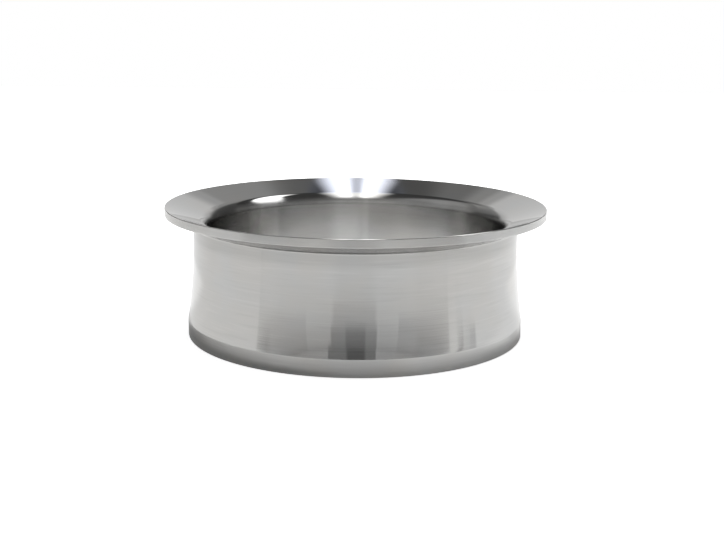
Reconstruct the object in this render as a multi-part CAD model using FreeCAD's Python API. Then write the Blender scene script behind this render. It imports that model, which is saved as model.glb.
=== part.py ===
import FreeCAD, Part
import math
import os

# Exhaust flange with a clamp rim, turned from one piece of stainless steel.
# Millimetres. The origin is at the centre of the foot, and +Z points up the axis to the rim.

# Overall sizes
FLANGE_DIAMETER = 114.3
PIPE_DIAMETER = 101.6
BORE_DIAMETER = 88.9
HEIGHT = 39.0

# Rim: the seat on top and the clamp flank underneath are parallel cones
RIM_LAND = 2.4
FLANK_ANGLE = 20.0
LIP_RADIUS = 4.0

# Neck: straight under the rim, then one hollow arc out to the weld end
NECK_WALL = 4.3
NECK_STRAIGHT = 2.4
NECK_FILLET = 0.8

# Weld end: a plain land as wide as the pipe. Inside, the bore runs straight this far down
# from the corner that the lip rounds off, then opens out to leave the wall at the foot.
WELD_LAND = 5.1
WELD_WALL = 3.0
BORE_STRAIGHT = 14.0

# The sharp edges of the rim and the foot are broken this far from each corner
EDGE_BREAK = 0.3

# Sizes worked out from those above
flange_radius = FLANGE_DIAMETER / 2
pipe_radius = PIPE_DIAMETER / 2
bore_radius = BORE_DIAMETER / 2
neck_radius = bore_radius + NECK_WALL
weld_bore_radius = pipe_radius - WELD_WALL

flank = math.radians(FLANK_ANGLE)
rim_corner_height = HEIGHT + EDGE_BREAK * math.sin(flank)
rim_bottom = HEIGHT - RIM_LAND
lip_height = rim_corner_height - (flange_radius - bore_radius) * math.tan(flank)
neck_top = rim_bottom - (flange_radius - neck_radius) * math.tan(flank)
waist_height = neck_top - NECK_STRAIGHT
bore_flare_top = lip_height - BORE_STRAIGHT


def point(radius, height):
    """A point of the section, which lies in the XZ plane."""
    return FreeCAD.Vector(radius, 0, height)


def straight(start, end):
    return Part.LineSegment(start, end).toShape()


def fillet(corner, back, ahead, radius):
    """The rounded edge in a corner whose sides run along back and ahead, with its two ends."""
    half_angle = back.getAngle(ahead) / 2
    setback = radius / math.tan(half_angle)
    inset = radius / math.sin(half_angle) - radius
    start = corner + back * setback
    middle = corner + (back + ahead).normalize() * inset
    end = corner + ahead * setback
    return start, Part.Arc(start, middle, end).toShape(), end


def chamfer(corner, back, ahead, setback):
    """The flat edge across a corner whose sides run along back and ahead, with its two ends."""
    start = corner + back * setback
    end = corner + ahead * setback
    return start, straight(start, end), end


def trimmed_path(first, corners, last):
    """Straight edges from first to last, through (place, trim, size) corners."""
    places = [first] + [place for place, _, _ in corners] + [last]
    edges = []
    leave = first
    for (corner, trim, size), before, after in zip(corners, places, places[2:]):
        back = (before - corner).normalize()
        ahead = (after - corner).normalize()
        arrive, edge, next_leave = trim(corner, back, ahead, size)
        edges += [straight(leave, arrive), edge]
        leave = next_leave
    return edges + [straight(leave, last)]


def hollow_arc(waist, land_top):
    """The outside of the neck: straight down at the waist, then out to the weld end's land."""
    across = land_top.x - waist.x
    down = waist.z - land_top.z
    lean = math.atan2(across, down) / 2
    reach = math.hypot(across, down) / (2 * math.cos(lean))
    middle = waist + point(reach * math.sin(lean), -reach * math.cos(lean))
    return Part.Arc(waist, middle, land_top).toShape()


def section():
    """The ring's section on one side of the axis."""
    waist = point(neck_radius, waist_height)
    flare_start = point(bore_radius, bore_flare_top)
    land_top = point(pipe_radius, WELD_LAND)
    rim_corners = [
        (point(neck_radius, neck_top), fillet, NECK_FILLET),
        (point(flange_radius, rim_bottom), chamfer, EDGE_BREAK),
        (point(flange_radius, rim_corner_height), chamfer, EDGE_BREAK),
        (point(bore_radius, lip_height), fillet, LIP_RADIUS),
    ]
    foot_corners = [
        (point(weld_bore_radius, 0), chamfer, EDGE_BREAK),
        (point(pipe_radius, 0), chamfer, EDGE_BREAK),
    ]
    outline = trimmed_path(waist, rim_corners, flare_start)
    outline += trimmed_path(flare_start, foot_corners, land_top)
    outline.append(hollow_arc(waist, land_top))
    return Part.Face(Part.Wire(outline))


def turned_flange():
    foot_centre = FreeCAD.Vector(0, 0, 0)
    axis = FreeCAD.Vector(0, 0, 1)
    return section().revolve(foot_centre, axis, 360)


os.makedirs("parts", exist_ok=True)
turned_flange().exportStep("parts/exhaust_flange.step")
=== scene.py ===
"""A turned steel exhaust flange on a white table, laid out as an add-on and run as a script."""

import math

import bpy
from mathutils import Matrix, Vector


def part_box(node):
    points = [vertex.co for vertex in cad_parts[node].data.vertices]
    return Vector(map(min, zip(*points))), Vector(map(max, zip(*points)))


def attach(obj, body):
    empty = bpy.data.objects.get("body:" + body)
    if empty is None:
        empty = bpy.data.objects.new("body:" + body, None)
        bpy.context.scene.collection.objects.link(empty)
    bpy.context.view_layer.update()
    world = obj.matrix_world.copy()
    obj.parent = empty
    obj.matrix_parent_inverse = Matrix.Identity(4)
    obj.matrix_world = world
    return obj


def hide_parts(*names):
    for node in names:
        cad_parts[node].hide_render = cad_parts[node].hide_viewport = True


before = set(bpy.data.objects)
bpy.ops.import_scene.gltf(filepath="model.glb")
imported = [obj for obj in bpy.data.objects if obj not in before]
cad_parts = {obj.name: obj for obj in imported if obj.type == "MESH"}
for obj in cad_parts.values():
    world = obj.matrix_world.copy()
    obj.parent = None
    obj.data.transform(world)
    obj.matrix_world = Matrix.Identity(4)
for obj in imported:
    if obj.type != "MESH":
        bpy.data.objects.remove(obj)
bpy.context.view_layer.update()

bl_info = {
    "name": "Exhaust flange",
    "version": (1, 0, 0),
    "blender": (4, 5, 0),
    "location": "3D View > Sidebar > Flange",
    "description": "Turns a steel exhaust clamp flange and sets it on a white table",
    "category": "Add Mesh",
}

NODE = "exhaust_flange"
BODY = "root"
MM = 0.001
PHOTO_WIDTH = 724
SENSOR_WIDTH = 36.0

_, high_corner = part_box(NODE)


def from_hex(text):
    """A linear colour from an sRGB hex value such as #808080."""
    channels = [int(text[i:i + 2], 16) / 255 for i in (1, 3, 5)]
    return [c / 12.92 if c <= 0.04045 else ((c + 0.055) / 1.055) ** 2.4 for c in channels]


def length_property(name, description, default):
    return bpy.props.FloatProperty(
        name=name, description=description, default=default, min=0, unit="LENGTH", precision=5
    )


class FlangeSizes(bpy.types.PropertyGroup):
    """The sizes of the turned ring, in metres."""

    flange_diameter: length_property(
        "Flange diameter", "Across the clamp rim", 2 * high_corner.x
    )
    height: length_property("Height", "From the foot to the rim", high_corner.z)
    pipe_diameter: length_property("Pipe diameter", "Outside of the weld end", 101.6 * MM)
    bore_diameter: length_property("Bore diameter", "The hole through the flange", 88.9 * MM)
    rim_land: length_property("Rim land", "Height of the rim's plain edge", 2.4 * MM)
    lip_radius: length_property("Lip radius", "Rounding from the seat to the bore", 4.0 * MM)
    neck_wall: length_property("Neck wall", "Wall between bore and waist", 4.3 * MM)
    neck_straight: length_property("Neck straight", "Plain height under the rim", 2.4 * MM)
    neck_fillet: length_property("Neck fillet", "Rounding under the rim", 0.8 * MM)
    weld_land: length_property("Weld land", "Plain height at the weld end", 5.1 * MM)
    weld_wall: length_property("Weld wall", "Wall left at the foot", 3.0 * MM)
    bore_straight: length_property("Bore straight", "Straight depth of the bore", 14.0 * MM)
    edge_radius: length_property("Edge radius", "Broken outer edges", 0.24 * MM)
    flank_angle: bpy.props.FloatProperty(
        name="Flank angle",
        description="Slope of the seat and of the clamp flank below it",
        default=math.radians(20),
        subtype="ANGLE",
    )
    segments: bpy.props.IntProperty(
        name="Segments", description="Faces round the ring", default=288, min=32, max=512
    )


class FlangeFinish(bpy.types.PropertyGroup):
    """The look of the steel."""

    steel: bpy.props.FloatVectorProperty(
        name="Steel",
        description="Colour of the freshly turned steel",
        default=from_hex("#c2c2c1"),
        subtype="COLOR",
        min=0,
        max=1,
    )
    roughness: bpy.props.FloatProperty(
        name="Roughness",
        description="Average blur of the turned surface",
        default=0.035,
        min=0,
        max=1,
        subtype="FACTOR",
    )


class StudioSettings(bpy.types.PropertyGroup):
    """The table, the lamps and the camera."""

    lamp: bpy.props.FloatProperty(
        name="Lamp level", description="Brightness of the lamps, 1 is white", default=3.0, min=0
    )
    floor: bpy.props.FloatVectorProperty(
        name="Floor",
        description="Colour of the table top",
        default=from_hex("#f0f0f0"),
        subtype="COLOR",
        min=0,
        max=1,
    )
    focal_pixels: bpy.props.FloatProperty(
        name="Focal length", description="In pixels of the photograph", default=1161.08, min=1
    )
    camera_place: bpy.props.FloatVectorProperty(
        name="Camera place",
        description="Where the camera stands",
        default=(0.00014, -0.34709, 0.09483),
        subtype="XYZ",
        unit="LENGTH",
    )
    camera_pitch: bpy.props.FloatProperty(
        name="Camera pitch",
        description="How far it looks down",
        default=math.radians(12.48),
        subtype="ANGLE",
    )
    camera_yaw: bpy.props.FloatProperty(
        name="Camera yaw",
        description="How far it looks to the right",
        default=math.radians(0.316),
        subtype="ANGLE",
    )
    camera_roll: bpy.props.FloatProperty(
        name="Camera roll",
        description="How far it leans",
        default=math.radians(0.579),
        subtype="ANGLE",
    )


def add_node(tree, kind, inputs=None, **settings):
    """One node with its settings. Each of its inputs is a value or the socket that feeds it."""
    node = tree.nodes.new(kind)
    for name, value in settings.items():
        setattr(node, name, value)
    for key, value in (inputs or {}).items():
        if isinstance(value, bpy.types.NodeSocket):
            tree.links.new(value, node.inputs[key])
        else:
            node.inputs[key].default_value = value
    return node


def empty_material(name):
    """A new material without nodes, and its node tree."""
    material = bpy.data.materials.new(name)
    material.use_nodes = True
    material.node_tree.nodes.clear()
    return material, material.node_tree


def math_node(tree, operation, *values):
    return add_node(
        tree, "ShaderNodeMath", dict(enumerate(values)), operation=operation
    ).outputs[0]


def ramp(tree, value, start, end):
    """0 up to start, 1 from end on, and smooth between."""
    return add_node(
        tree, "ShaderNodeMapRange", {"Value": value, "From Min": start, "From Max": end},
        interpolation_type="SMOOTHSTEP",
    ).outputs["Result"]


def band(tree, value, middle, half, softness):
    """1 within half of the middle, falling to 0 over the softness."""
    off = math_node(tree, "ABSOLUTE", math_node(tree, "SUBTRACT", value, middle))
    return ramp(tree, off, half + softness / 2, half - softness / 2)


def blend(tree, factor, first, second):
    """A number that goes from first to second as the factor goes from 0 to 1."""
    return add_node(
        tree, "ShaderNodeMix", {"Factor": factor, "A": first, "B": second}
    ).outputs["Result"]


def blend_colour(tree, factor, first, second):
    """The same for colours, whose sockets on the node share their names with those for numbers."""
    return add_node(
        tree, "ShaderNodeMix", {"Factor": factor, 6: first, 7: second}, data_type="RGBA"
    ).outputs[2]


def distance_from_axis(tree, x, y):
    flat = add_node(tree, "ShaderNodeCombineXYZ", {0: x, 1: y}).outputs[0]
    return add_node(tree, "ShaderNodeVectorMath", {0: flat}, operation="LENGTH").outputs["Value"]


def arc_points(corner, before, after, radius, steps):
    """The rounding of a corner between the points before and after it."""
    back = (before - corner).normalized()
    ahead = (after - corner).normalized()
    half = back.angle(ahead) / 2
    centre = corner + (back + ahead).normalized() * (radius / math.sin(half))
    start = corner + back * (radius / math.tan(half)) - centre
    sweep = math.pi - 2 * half
    if back.x * ahead.y - back.y * ahead.x > 0:
        sweep = -sweep
    turns = [Matrix.Rotation(sweep * i / steps, 2) for i in range(steps + 1)]
    return [centre + turn @ start for turn in turns]


def hollow_points(waist, land_top, steps):
    """The outside of the neck: upright at the waist, then in one arc out to the weld land."""
    across = land_top.x - waist.x
    down = waist.y - land_top.y
    radius = (across ** 2 + down ** 2) / (2 * across)
    sweep = math.asin(down / radius)
    return [
        Vector((
            waist.x + radius * (1 - math.cos(sweep * i / steps)),
            waist.y - radius * math.sin(sweep * i / steps),
        ))
        for i in range(steps, 0, -1)
    ]


def section(sizes):
    """The ring's section as points of radius and height, once round from above the weld land."""
    outside = sizes.flange_diameter / 2
    pipe = sizes.pipe_diameter / 2
    bore = sizes.bore_diameter / 2
    neck = bore + sizes.neck_wall
    slope = math.tan(sizes.flank_angle)
    edge = sizes.edge_radius
    rim_top = sizes.height + edge * (slope + 1 / math.cos(sizes.flank_angle) - 1)
    rim_bottom = sizes.height - sizes.rim_land
    lip = rim_top - (outside - bore) * slope
    neck_top = rim_bottom - (outside - neck) * slope
    waist = Vector((neck, neck_top - sizes.neck_straight))
    land_top = Vector((pipe, sizes.weld_land))
    flare_start = Vector((bore, lip - sizes.bore_straight))
    rim = [
        (Vector((neck, neck_top)), sizes.neck_fillet, 6),
        (Vector((outside, rim_bottom)), edge, 4),
        (Vector((outside, rim_top)), edge, 4),
        (Vector((bore, lip)), sizes.lip_radius, 16),
    ]
    foot = [
        (Vector((pipe - sizes.weld_wall, 0)), edge, 4),
        (Vector((pipe, 0)), edge, 4),
        (land_top, edge, 2),
    ]
    hollow = hollow_points(waist, land_top, 26)[1:]
    points = hollow + [waist]
    for first, corners, last in ((waist, rim, flare_start), (flare_start, foot, hollow[0])):
        places = [first] + [corner for corner, _, _ in corners] + [last]
        for (corner, radius, steps), before, after in zip(corners, places, places[2:]):
            points += arc_points(corner, before, after, radius, steps)
        points.append(last)
    return points[:-1]


def turned_ring(name, points, segments):
    """A circle drawn out from point to point of the section, and joined up at the end."""
    bpy.ops.object.select_all(action="DESELECT")
    bpy.ops.mesh.primitive_circle_add(
        vertices=segments, radius=points[0].x, location=(0, 0, points[0].y)
    )
    ring = bpy.context.object
    ring.name = ring.data.name = name
    bpy.ops.object.mode_set(mode="EDIT")
    bpy.ops.mesh.select_all(action="SELECT")
    for here, there in zip(points, points[1:]):
        bpy.ops.mesh.extrude_region_move(
            TRANSFORM_OT_translate={"value": (0, 0, there.y - here.y)}
        )
        widen = there.x / here.x
        bpy.ops.transform.resize(value=(widen, widen, 1), center_override=(0, 0, 0))
    bpy.ops.mesh.select_all(action="DESELECT")
    bpy.ops.mesh.select_non_manifold()
    bpy.ops.mesh.bridge_edge_loops()
    bpy.ops.mesh.select_all(action="SELECT")
    bpy.ops.mesh.normals_make_consistent(inside=False)
    bpy.ops.object.mode_set(mode="OBJECT")
    bpy.ops.object.transform_apply(location=True, rotation=True, scale=True)
    bpy.ops.object.shade_smooth()
    bpy.ops.object.modifier_add(type="WEIGHTED_NORMAL")
    ring.modifiers[0].keep_sharp = False
    bpy.ops.object.modifier_apply(modifier=ring.modifiers[0].name)
    return ring


# Painted shade in the bore, and painted streaks of reflection and shade down it, with darker
# ends to the left and right: for each the turn to the right of straight behind as middle, half
# width and softness, in degrees, and the shade.
BORE_PAINTED_SHADE = 0.94
BORE_PAINTED_STREAKS = (
    (-65, 55, 8, 0.73),
    (-40.5, 5, 3, 0.96),
    (-71, 21, 6, 0.5),
    (74, 18, 10, 0.6),
    (-4, 1.5, 2, 0.93),
    (4.4, 1.2, 2, 1.05),
    (21, 4, 5, 1.0),
    (39, 4.5, 5, 1.02),
)
# How blurred the steel is where its finish differs from the seat's and the waist's, and how light:
# the neck, the corner under the rim and the flank carry painted shade, the plain edge painted
# light, and the worn patches are rubbed lighter.
BORE_BLUR = 0.2
COARSE_BLUR = 0.25
WORN_BLUR = 0.12
NECK_PAINTED_SHADE = 0.88
CORNER_PAINTED_SHADE = 0.96
FLANK_PAINTED_SHADE = 0.83
LAND_PAINTED_LIGHT = 1.1
WORN_SHADE = 1.1
# How far the lines and the marks change the blur and the shade, and how deep the lines are cut.
LINE_BLUR = 0.04
LINE_SHADE = 0.07
MARK_SHADE = 0.042
BORE_MARK_SHADE = 0.01
LINE_DEPTH = 0.001 * MM


def drawn_round(tree, place, round_scale, cross_scale, **settings):
    """A noise that is drawn out round the ring, with its scales as repeats in a metre."""
    x, y, z = add_node(tree, "ShaderNodeSeparateXYZ", {0: place}).outputs
    across = math_node(tree, "ADD", z, distance_from_axis(tree, x, y))
    stretched = add_node(tree, "ShaderNodeCombineXYZ", {
        0: math_node(tree, "MULTIPLY", x, round_scale),
        1: math_node(tree, "MULTIPLY", y, round_scale),
        2: math_node(tree, "MULTIPLY", across, cross_scale),
    })
    noise = {"Vector": stretched.outputs[0], "Scale": 1.0, **settings}
    return add_node(tree, "ShaderNodeTexNoise", noise).outputs[0]


def turned_steel(sizes, finish):
    """Stainless steel, finish turned with a fine feed and rubbed with emery cloth as it turned.

    The tool leaves rings that are too fine to see, but they smear every reflection across
    themselves: along the axis on the walls, and in and out on the seat. The bore, the underside of
    the rim and its plain edge are cut with a coarser feed, so they mirror less sharply. Shade and
    light are painted into the colour as well: painted shade at the neck, under the rim and in the
    bore, painted streaks of reflection down the bore, and painted light on the rim's plain edge.
    """
    material, tree = empty_material("Finish-turned stainless steel")
    place = add_node(tree, "ShaderNodeTexCoord").outputs["Object"]
    x, y, z = add_node(tree, "ShaderNodeSeparateXYZ", {0: place}).outputs
    radius = distance_from_axis(tree, x, y)
    normal = add_node(tree, "ShaderNodeTexCoord").outputs["Normal"]
    facing_up = add_node(tree, "ShaderNodeSeparateXYZ", {0: normal}).outputs["Z"]

    # The areas of the ring that differ: 1 on each of them and 0 elsewhere.
    bore_radius = sizes.bore_diameter / 2
    rim_radius = sizes.flange_diameter / 2
    bore = ramp(tree, radius, bore_radius + 2.1 * MM, bore_radius + 0.4 * MM)
    flank = ramp(tree, facing_up, -0.6, -0.85)
    corner = band(tree, facing_up, -0.45, 0.35, 0.2)
    land = ramp(tree, radius, rim_radius - 0.35 * MM, rim_radius - 0.1 * MM)
    neck = ramp(tree, z, 28.5 * MM, 31.0 * MM)

    # Rings of the tool, 0.4 mm apart: the real feed is near 0.1 mm, finer than the picture can
    # show. They run 50 mm or so round the ring before they fade.
    lines = drawn_round(tree, place, 20.0, 2500.0, Detail=3.0, Roughness=0.6)
    unevenness = math_node(tree, "SUBTRACT", lines, 0.5)
    # Marks of the emery cloth, 0.6 mm apart and 15 mm long. The seat and the bore have hardly any.
    marks = drawn_round(tree, place, 65.0, 1600.0, Detail=1.0)
    bright_marks = ramp(tree, marks, 0.58, 0.72)
    dark_marks = ramp(tree, marks, 0.42, 0.28)
    mark_shade = math_node(tree, "MULTIPLY", ramp(tree, facing_up, 0.7, 0.4), MARK_SHADE)
    mark_shade = blend(tree, bore, mark_shade, BORE_MARK_SHADE)
    # Clouds 15 mm across, from the coolant and from wiping.
    clouds = add_node(
        tree, "ShaderNodeTexNoise", {"Vector": place, "Scale": 65.0, "Detail": 2.0}
    ).outputs[0]
    # Handling rubs the sharp edges of the rim bright, in patches of a few millimetres.
    profile = add_node(tree, "ShaderNodeCombineXYZ", {0: radius, 1: z}).outputs[0]
    nearest = 1.0
    for height in (sizes.height, sizes.height - sizes.rim_land):
        gap = add_node(
            tree, "ShaderNodeVectorMath", {0: profile, 1: (rim_radius, height, 0)},
            operation="DISTANCE",
        )
        nearest = math_node(tree, "MINIMUM", nearest, gap.outputs["Value"])
    rubs = add_node(
        tree, "ShaderNodeTexNoise", {"Vector": place, "Scale": 300.0, "Detail": 2.0}
    ).outputs[0]
    near_edge = ramp(tree, nearest, 0.5 * MM, 0.15 * MM)
    wear = math_node(tree, "MULTIPLY", near_edge, ramp(tree, rubs, 0.4, 0.6))

    turn = math_node(tree, "DEGREES", math_node(tree, "ARCTAN2", x, y))
    # Painted shade and painted streaks of reflection down the bore.
    painted_bore_streaks = BORE_PAINTED_SHADE
    for middle, half, softness, streak_shade in BORE_PAINTED_STREAKS:
        painted_bore_streaks = blend(tree, band(tree, turn, middle, half, softness), painted_bore_streaks, streak_shade)

    blur = blend(tree, bore, finish.roughness, BORE_BLUR)
    blur = blend(tree, flank, blur, COARSE_BLUR)
    blur = blend(tree, land, blur, COARSE_BLUR)
    blur = math_node(tree, "MULTIPLY_ADD", unevenness, LINE_BLUR, blur)
    blur = blend(tree, wear, blur, WORN_BLUR)

    # Painted shade at the neck, in its corner under the rim, on the flank and in the bore, and
    # painted light on the plain edge; then the tool lines, the marks and the wear.
    shade = blend(tree, neck, 1.0, NECK_PAINTED_SHADE)
    for area, area_shade in (
        (corner, CORNER_PAINTED_SHADE), (bore, painted_bore_streaks), (flank, FLANK_PAINTED_SHADE), (land, LAND_PAINTED_LIGHT)
    ):
        shade = blend(tree, area, shade, area_shade)
    shade = math_node(tree, "MULTIPLY_ADD", unevenness, LINE_SHADE, shade)
    shade = math_node(tree, "MULTIPLY_ADD", bright_marks, mark_shade, shade)
    darker = math_node(tree, "MULTIPLY", mark_shade, -1.0)
    shade = math_node(tree, "MULTIPLY_ADD", dark_marks, darker, shade)
    shade = blend(tree, wear, shade, WORN_SHADE)

    warm = Vector(finish.steel) * Vector((1.015, 1, 0.98))
    plain = Vector(finish.steel) * Vector((0.998, 1, 1.0))
    tone = blend_colour(tree, ramp(tree, clouds, 0.35, 0.65), (*warm, 1), (*plain, 1))
    colour = add_node(tree, "ShaderNodeVectorMath", {0: tone, "Scale": shade}, operation="SCALE")
    bump = add_node(
        tree, "ShaderNodeBump", {"Height": lines, "Strength": 1.0, "Distance": LINE_DEPTH}
    )
    tangent = add_node(tree, "ShaderNodeTangent", direction_type="RADIAL", axis="Z")
    steel = add_node(tree, "ShaderNodeBsdfPrincipled", {
        "Base Color": colour.outputs["Vector"],
        "Metallic": 1.0,
        "Roughness": blur,
        "Anisotropic": 0.9,
        "Anisotropic Rotation": 0.25,
        "Tangent": tangent.outputs["Tangent"],
        "Normal": bump.outputs["Normal"],
    })
    add_node(tree, "ShaderNodeOutputMaterial", {"Surface": steel.outputs["BSDF"]})
    return material


class FLANGE_OT_turn_ring(bpy.types.Operator):
    """Turn the flange's ring and give it its steel"""

    bl_idname = "flange.turn_ring"
    bl_label = "Turn the ring"

    def execute(self, context):
        sizes = context.scene.flange_sizes
        ring = turned_ring("flange_ring", section(sizes), sizes.segments)
        ring.data.materials.append(turned_steel(sizes, context.scene.flange_finish))
        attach(ring, BODY)
        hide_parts(NODE)
        return {"FINISHED"}


def patched(tree, across, along, level, patches):
    """A level with patches of other levels laid on it, each soft at its edges."""
    for _, across_band, along_band, patch_level in patches:
        inside = math_node(
            tree, "MULTIPLY", band(tree, across, *across_band), band(tree, along, *along_band)
        )
        level = blend(tree, inside, level, patch_level)
    return level


def ways(tree):
    """Object coordinates, with the turn to the right of the front in degrees and the reach."""
    place = add_node(tree, "ShaderNodeTexCoord").outputs["Object"]
    x, y, z = add_node(tree, "ShaderNodeSeparateXYZ", {0: place}).outputs
    turn = math_node(tree, "ARCTAN2", x, math_node(tree, "MULTIPLY", y, -1.0))
    return x, y, z, math_node(tree, "DEGREES", turn), distance_from_axis(tree, x, y)


def glow_output(tree, level, colour=(1, 1, 1, 1)):
    """End the material in a glow of that level, 1 being white."""
    glow = add_node(tree, "ShaderNodeEmission", {"Color": colour, "Strength": level})
    add_node(tree, "ShaderNodeOutputMaterial", {"Surface": glow.outputs["Emission"]})


def flat_board(name, place, size, rotation=(0, 0, 0)):
    """A board of that size across and back, with its place in its mesh."""
    bpy.ops.object.select_all(action="DESELECT")
    bpy.ops.mesh.primitive_plane_add(size=1, location=place, rotation=rotation)
    board = bpy.context.object
    board.name = name
    board.scale = (*size, 1)
    bpy.ops.object.transform_apply(location=True, rotation=True, scale=True)
    return board


def mirrored_only(board, material):
    """Give a board its material, and let only the steel see it."""
    board.data.materials.append(material)
    board.visible_camera = False
    board.visible_diffuse = False
    board.visible_shadow = False


def fill_lamp(name, level, centre, size):
    """A soft lamp that hangs level over the table, and that the steel doesn't mirror."""
    data = bpy.data.lights.new(name, "AREA")
    data.shape = "RECTANGLE"
    data.size, data.size_y = size
    data.energy = level * math.pi * size[0] * size[1]
    lamp = bpy.data.objects.new(name, data)
    bpy.context.scene.collection.objects.link(lamp)
    lamp.location = centre
    lamp.visible_camera = False
    lamp.visible_glossy = False
    return lamp


# The painted shade and light that the steel mirrors on the table: for each patch the turn to the
# right of the front and the reach as middle, half width and softness, in degrees and metres, and
# the level.
SHADE_PATCHES = (
    ("front half", (0, 100, 20), (2.0, 1.9, 0.03), 0.905),
    ("front, near", (0, 52, 16), (2.0, 1.797, 0.024), 0.82),
    ("right, near", (48, 12, 8), (2.0, 1.8, 0.02), 0.8),
    ("front", (0, 50, 12), (2.0, 1.768, 0.03), 0.73),
    ("front, further on", (0, 59, 3), (2.0, 1.725, 0.06), 0.61),
    ("left side", (-83, 14, 8), (0, 0.15, 0.03), 0.89),
    ("right, beside and behind", (180, 85, 20), (2.0, 2.0, 0.1), 0.94),
    ("left, beside and behind", (-140, 45, 16), (2.0, 2.0, 0.1), 0.87),
    ("right, just behind", (180, 72, 16), (0, 0.135, 0.02), 1.08),
    ("left, just behind", (-180, 68, 12), (0, 0.135, 0.02), 1.08),
    ("right, by the foot", (45, 28, 16), (0.059, 0.009, 0.006), 1.2),
    ("far right, by the foot", (84, 8, 6), (0.0575, 0.0015, 0.002), 0.9),
    ("left, by the foot", (-45, 25, 16), (0.062, 0.006, 0.006), 1.1),
    ("left, at the foot", (-50, 40, 30), (0, 0.0555, 0.006), 0.62),
)
# Painted shade of two sheets, mirrored by the steel. They come nearer to the ring at their outer
# sides, so their reach is stretched with the square of the turn.
SHEET_STRETCH = 8.5e-5
SHEET_SHADE_PATCHES = (
    ("left sheet", (-44, 14.9, 1), (2.0, 1.743, 0.014), 0.62),
    ("left sheet further on", (-44, 14.9, 1), (2.0, 1.69, 0.04), 0.53),
    ("left sheet's end", (-56, 4, 4), (2.0, 1.715, 0.04), 0.44),
    ("right sheet", (41.7, 15.6, 1), (2.0, 1.746, 0.012), 0.63),
    ("right sheet further on", (41.7, 15.6, 1), (2.0, 1.728, 0.024), 0.53),
    ("right sheet's end", (47, 9, 6), (2.0, 1.7, 0.05), 0.46),
)
# Painted shade of a dark block in front of the ring, mirrored by the steel.
BLOCK_SHADE_PATCHES = (
    ("dark block, near", (-0.25, 11, 9), (2.0, 1.84, 0.04), 0.86),
    ("dark block", (-0.25, 11.5, 8), (2.0, 1.797, 0.02), 0.78),
    ("dark block, on", (-0.25, 12.8, 3), (2.0, 1.773, 0.024), 0.6),
    ("dark block further on", (-0.5, 13.9, 1.5), (2.0, 1.714, 0.07), 0.36),
    ("dark block's end", (-1.5, 15, 1.5), (2.0, 1.4, 0.2), 0.37),
    ("core of the block", (0.5, 6, 2), (2.0, 1.7, 0.06), 0.24),
)
# Two painted stripes of shade to the right of the ring, by the way across and the way back in
# metres.
STRIPE_SHADE_PATCHES = (
    ("between the stripes", (0.13, 0.025, 0.02), (-0.062, 0.012, 0.01), 0.74),
    ("stripe", (0.115, 0.045, 0.012), (-0.077, 0.007, 0.004), 0.6),
    ("dark end of the stripe", (0.1, 0.05, 0.01), (-0.077, 0.007, 0.004), 0.42),
    ("second stripe", (0.105, 0.045, 0.012), (-0.048, 0.006, 0.005), 0.66),
)
# How much the table glows by itself, for the camera and for the steel that mirrors it.
SEEN_GLOW = 0.75
MIRRORED_GLOW = 0.06


def table_top(studio):
    """A white table whose painted shade and light only the steel sees."""
    board = flat_board("table_top", (0, -0.175, 0), (4.0, 2.65))
    material, tree = empty_material("White laminate table")
    # The camera sees the table as white as the page behind it, and the steel a little whiter than
    # it is. Neither puts light on anything.
    path = add_node(tree, "ShaderNodeLightPath").outputs
    metal = math_node(tree, "ADD", path["Is Glossy Ray"], path["Is Transmission Ray"])
    page = math_node(tree, "MULTIPLY", metal, MIRRORED_GLOW)
    seen = math_node(tree, "MULTIPLY_ADD", path["Is Camera Ray"], SEEN_GLOW, page)
    glow = add_node(tree, "ShaderNodeEmission", {"Strength": seen})
    x, y, _, turn, reach = ways(tree)
    level = patched(tree, turn, reach, 1.0, SHADE_PATCHES)
    aside = math_node(tree, "MULTIPLY", turn, turn)
    stretch = math_node(tree, "MULTIPLY_ADD", aside, SHEET_STRETCH, 1.0)
    level = patched(tree, turn, math_node(tree, "MULTIPLY", reach, stretch), level, SHEET_SHADE_PATCHES)
    level = patched(tree, turn, reach, level, BLOCK_SHADE_PATCHES)
    level = patched(tree, x, y, level, STRIPE_SHADE_PATCHES)
    # The camera sees none of the shade.
    level = math_node(tree, "MAXIMUM", level, path["Is Camera Ray"])
    colour = add_node(
        tree, "ShaderNodeVectorMath", {0: tuple(studio.floor), "Scale": level}, operation="SCALE"
    )
    matt = add_node(tree, "ShaderNodeBsdfDiffuse", {"Color": colour.outputs["Vector"]})
    both = add_node(
        tree, "ShaderNodeAddShader", {0: matt.outputs["BSDF"], 1: glow.outputs["Emission"]}
    )
    add_node(tree, "ShaderNodeOutputMaterial", {"Surface": both.outputs["Shader"]})
    board.data.materials.append(material)


# The middle of the far card is darker still: the way across and the way up in metres, and the
# level.
CARD_LEVEL = 0.24
CARD_PATCHES = (("core", (0.02, 0.14, 0.06), (0, 1, 0.1), 0.13),)


def far_card():
    """A dark card low over the table's front edge, at the end of the dark block."""
    board = flat_board("far_card", (-0.045, -1.4, 0.06), (0.75, 0.12), (math.pi / 2, 0, 0))
    material, tree = empty_material("Dark card")
    x, _, z, _, _ = ways(tree)
    glow_output(tree, patched(tree, x, z, CARD_LEVEL, CARD_PATCHES))
    mirrored_only(board, material)


# The ceiling as patches of light and dark: for each the way across and the way back as middle,
# half width and softness, in metres, and the level.
CEILING_HEIGHT = 0.75
CEILING_LEVEL = 0.31
CEILING_PATCHES = (
    ("left cloth", (-0.72, 0.36, 0.3), (0.15, 0.35, 0.25), 0.42),
    ("front cloth", (0.7, 1.0, 0.3), (-0.75, 0.4, 0.2), 0.2),
    ("right cloth", (1.25, 0.4, 0.15), (0.45, 0.5, 0.2), 0.18),
    ("gap round the lamps", (0.25, 0.6, 0.14), (0.17, 0.56, 0.12), 0.07),
)
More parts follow.
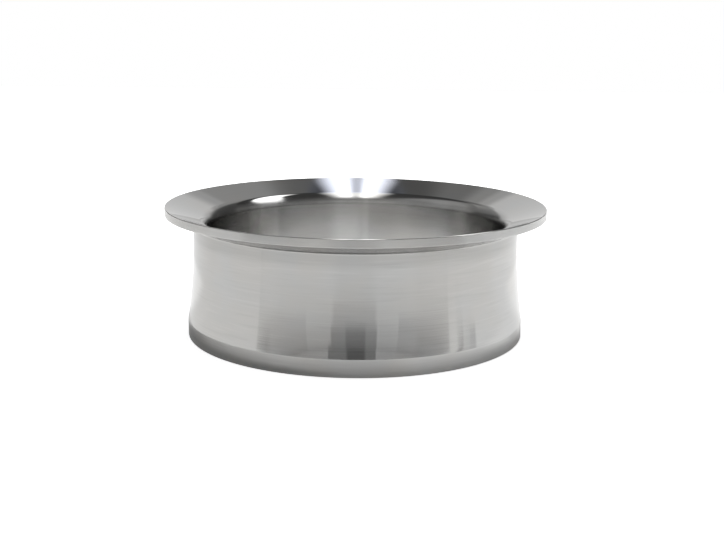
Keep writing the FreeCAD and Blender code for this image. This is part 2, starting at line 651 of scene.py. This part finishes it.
# The bar lamp's half width over the ring, and how much that grows a metre further back.
BAR_HALF_WIDTH = 0.1365
BAR_TAPER = -0.1477
# The softbox's three slanting edges: the way that each faces, and how far that way its light ends
# and is full.
SOFTBOX_EDGES = (
    ((0.525, 0.851, 0), 0.665, 0.61),
    ((0.8, 0.6, 0), 0.375, 0.41),
    ((0.61, 0.792, 0), 0.293, 0.327),
)


def ceiling(studio):
    """The top of the tent with its two lamps: a bar over the middle and a softbox to the right."""
    board = flat_board("ceiling", (0, -0.19, CEILING_HEIGHT), (3.4, 1.84))
    material, tree = empty_material("Lamps and cloth overhead")
    x, y, _, _, _ = ways(tree)
    level = patched(tree, x, y, CEILING_LEVEL, CEILING_PATCHES)
    # The bar lies 1 mm to the left. It narrows towards the back and is dimmer along its middle.
    half = math_node(tree, "MULTIPLY_ADD", y, BAR_TAPER, BAR_HALF_WIDTH)
    off = math_node(tree, "DIVIDE", math_node(tree, "ADD", x, 1 * MM), half)
    away = math_node(tree, "ABSOLUTE", off)
    inside = math_node(tree, "MULTIPLY", ramp(tree, away, 1.25, 0.3), ramp(tree, y, -0.55, -0.3))
    dim = blend(tree, ramp(tree, y, -0.35, 0.0), studio.lamp * 0.25, studio.lamp * 0.57)
    dim = blend(tree, ramp(tree, y, 0.5, 0.65), dim, studio.lamp * 0.39)
    seam = blend(tree, ramp(tree, away, 0.04, 0.28), dim, studio.lamp)
    level = blend(tree, inside, level, seam)
    # The softbox has a slanting outer edge and a corner towards the bar.
    place = add_node(tree, "ShaderNodeCombineXYZ", {0: x, 1: y}).outputs[0]
    box = math_node(tree, "MULTIPLY", ramp(tree, x, 0.1, 0.17), ramp(tree, x, 1.25, 0.5))
    for way, start, end in SOFTBOX_EDGES:
        across = add_node(
            tree, "ShaderNodeVectorMath", {0: place, 1: way}, operation="DOT_PRODUCT"
        )
        box = math_node(tree, "MULTIPLY", box, ramp(tree, across.outputs["Value"], start, end))
    level = blend(tree, box, level, studio.lamp)
    # The bar's light is a little blue where it fades out.
    fringe = math_node(tree, "MULTIPLY", ramp(tree, x, 0.09, 0.04), ramp(tree, x, -0.09, -0.04))
    fringe = math_node(tree, "MULTIPLY", fringe, ramp(tree, y, 0.3, 0.5))
    glow_output(tree, level, blend_colour(tree, fringe, (1, 1, 1, 1), (0.9, 0.94, 1.08, 1)))
    mirrored_only(board, material)


# The cloth of the tent as patches of light and dark: for each the turn to the right of straight
# behind and the way up as middle, half width and softness, in degrees, and the level. A turn of
# 180 is straight to the front, and a patch there lies on one side of it only.
TENT_LEVEL = 0.36
TENT_PATCHES = (
    ("upper left cloth", (-75, 55, 14), (48, 16, 14), 0.46),
    ("upper right cloth", (75, 60, 8), (72, 14, 8), 0.12),
    ("right corner", (45, 18, 12), (22, 20, 12), 0.14),
    ("left corner", (-50, 18, 12), (4, 10, 12), 0.10),
    ("low left corner", (-42, 24, 10), (8, 6, 8), 0.10),
    ("low right corner", (42, 24, 10), (8, 6, 8), 0.12),
    ("right of the bar", (12, 14, 8), (53, 12, 4), 0.20),
    ("left of the bar", (-12, 14, 8), (50, 12, 6), 0.13),
    ("over the window, right", (10, 14, 8), (34, 8, 6), 0.41),
    ("high over the window, left", (-10, 12, 8), (38, 4, 4), 0.24),
    ("over the window, left", (-12, 12, 8), (31, 4.5, 4), 0.38),
    ("edge of the window", (0, 22, 12), (4, 24.5, 2), 0.51),
    ("edge of the window, left", (-10, 10, 4), (4, 27.5, 2), 0.51),
    ("window", (0, 22, 12), (4, 20, 5), 0.76),
    ("window, higher on the left", (-10, 10, 4), (4, 24, 3), 0.76),
    ("front, low, right", (165, 17, 8), (14, 12, 6), 0.5),
    ("front, low, left", (-165, 17, 8), (14, 12, 6), 0.5),
    ("front horizon, right", (150, 30, 4), (-2, 4, 3), 0.46),
    ("front horizon, left", (-150, 30, 4), (-2, 4, 3), 0.46),
    ("horizon", (0, 113, 4), (0, 2, 4), 0.8),
)


def tent_dome():
    """A light tent: a dome of cloth that only the steel and the table see."""
    bpy.ops.object.select_all(action="DESELECT")
    bpy.ops.mesh.primitive_uv_sphere_add(segments=96, ring_count=48, radius=2.8)
    dome = bpy.context.object
    dome.name = "tent"
    material, tree = empty_material("Tent cloth")
    place = add_node(tree, "ShaderNodeTexCoord").outputs["Object"]
    way = add_node(tree, "ShaderNodeVectorMath", {0: place}, operation="NORMALIZE")
    x, y, z = add_node(tree, "ShaderNodeSeparateXYZ", {0: way.outputs["Vector"]}).outputs
    turn = math_node(tree, "DEGREES", math_node(tree, "ARCTAN2", x, y))
    lift = math_node(tree, "DEGREES", math_node(tree, "ARCSINE", z))
    glow_output(tree, patched(tree, turn, lift, TENT_LEVEL, TENT_PATCHES))
    dome.data.materials.append(material)
    dome.visible_camera = False


def white_world():
    """White behind everything, for the camera and for what the steel mirrors."""
    world = bpy.data.worlds.new("White page")
    bpy.context.scene.world = world
    world.use_nodes = True
    tree = world.node_tree
    tree.nodes.clear()
    page = add_node(tree, "ShaderNodeBackground", {"Color": (1, 1, 1, 1), "Strength": 1.0})
    add_node(tree, "ShaderNodeOutputWorld", {"Surface": page.outputs["Background"]})


def photo_camera(studio):
    """The camera, with the focal length and the view of the photograph."""
    data = bpy.data.cameras.new("Camera")
    data.sensor_width = SENSOR_WIDTH
    data.lens = studio.focal_pixels * SENSOR_WIDTH / PHOTO_WIDTH
    data.clip_start = 0.01
    camera = bpy.data.objects.new("Camera", data)
    bpy.context.scene.collection.objects.link(camera)
    camera.matrix_world = (
        Matrix.Translation(studio.camera_place)
        @ Matrix.Rotation(-studio.camera_yaw, 4, "Z")
        @ Matrix.Rotation(math.pi / 2 - studio.camera_pitch, 4, "X")
        @ Matrix.Rotation(studio.camera_roll, 4, "Z")
    )
    bpy.context.scene.camera = camera


class FLANGE_OT_set_stage(bpy.types.Operator):
    """Set the flange on a white table in a light tent, and place the camera"""

    bl_idname = "flange.set_stage"
    bl_label = "Set the stage"

    def execute(self, context):
        studio = context.scene.flange_studio
        context.scene.view_settings.view_transform = "Standard"
        white_world()
        table_top(studio)
        far_card()
        ceiling(studio)
        tent_dome()
        fill_lamp("Fill", level=13.6, centre=(0.1, 0.4, 1.2), size=(0.3, 1.2))
        photo_camera(studio)
        return {"FINISHED"}


class FLANGE_PT_sidebar(bpy.types.Panel):
    """The flange's sizes, its steel and its studio"""

    bl_idname = "FLANGE_PT_sidebar"
    bl_label = "Exhaust flange"
    bl_space_type = "VIEW_3D"
    bl_region_type = "UI"
    bl_category = "Flange"

    def draw(self, context):
        scene = context.scene
        for group in (scene.flange_sizes, scene.flange_finish, scene.flange_studio):
            box = self.layout.box()
            for name in group.__annotations__:
                box.prop(group, name)
        self.layout.operator(FLANGE_OT_turn_ring.bl_idname)
        self.layout.operator(FLANGE_OT_set_stage.bl_idname)


CLASSES = (
    FlangeSizes,
    FlangeFinish,
    StudioSettings,
    FLANGE_OT_turn_ring,
    FLANGE_OT_set_stage,
    FLANGE_PT_sidebar,
)


def register():
    for each in CLASSES:
        bpy.utils.register_class(each)
    bpy.types.Scene.flange_sizes = bpy.props.PointerProperty(type=FlangeSizes)
    bpy.types.Scene.flange_finish = bpy.props.PointerProperty(type=FlangeFinish)
    bpy.types.Scene.flange_studio = bpy.props.PointerProperty(type=StudioSettings)


def unregister():
    del bpy.types.Scene.flange_sizes
    del bpy.types.Scene.flange_finish
    del bpy.types.Scene.flange_studio
    for each in reversed(CLASSES):
        bpy.utils.unregister_class(each)


def main():
    register()
    bpy.ops.flange.set_stage()
    bpy.ops.flange.turn_ring()


if __name__ == "__main__":
    main()
